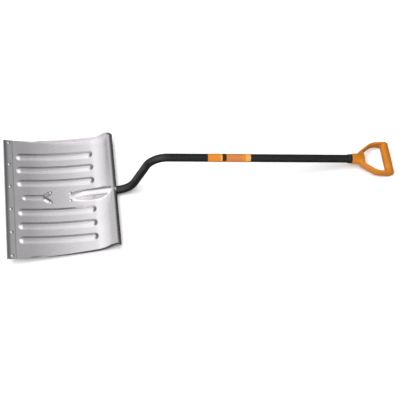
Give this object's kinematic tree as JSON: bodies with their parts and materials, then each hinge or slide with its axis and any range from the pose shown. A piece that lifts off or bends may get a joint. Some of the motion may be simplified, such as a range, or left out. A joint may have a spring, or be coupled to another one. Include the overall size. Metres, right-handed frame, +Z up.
{
  "type": "snow shovel",
  "caption": "Snow shovel with a ribbed aluminium scoop blade, a steel wear edge, an S-bent tubular shaft and a closed D-shaped plastic grip.",
  "frame": {"origin": "on the floor under the middle of the shovel's bounding box, the shovel lying on its back with the scoop up", "axes": "+X from the blade's front edge towards the grip, +Y across the blade, +Z up out of the scoop"},
  "size_m": [1.3066, 0.457, 0.202],
  "materials": {
    "blade_aluminium": "bare pressed sheet, satin, lightly brushed",
    "wear_strip_steel": "bare galvanised steel, satin",
    "backing_plate_steel": "bare steel, dull",
    "rivet_metal": "bare, smooth domes",
    "shaft_black": "black powder coat, semi-gloss",
    "wrap_orange": "printed film, plain orange and black blocks",
    "collar_black": "black moulded plastic",
    "grip_orange": "orange moulded plastic, satin",
    "screw_metal": "plated steel"
  },
  "bodies": {
    "root": {"blade": "blade_aluminium", "wear_strip": "wear_strip_steel", "wear_strip_rivet_1": "rivet_metal", "wear_strip_rivet_2": "rivet_metal", "wear_strip_rivet_3": "rivet_metal", "wear_strip_rivet_4": "rivet_metal", "wear_strip_rivet_5": "rivet_metal", "wear_strip_rivet_6": "rivet_metal", "backing_plate": "backing_plate_steel", "front_socket_rivet_1": "rivet_metal", "front_socket_rivet_2": "rivet_metal", "rear_socket_rivet_1": "rivet_metal", "rear_socket_rivet_2": "rivet_metal", "shaft": "shaft_black", "label_wrap": "wrap_orange", "grip_collar": "collar_black", "grip": "grip_orange", "grip_screw": "screw_metal"}
  },
  "joints": []
}
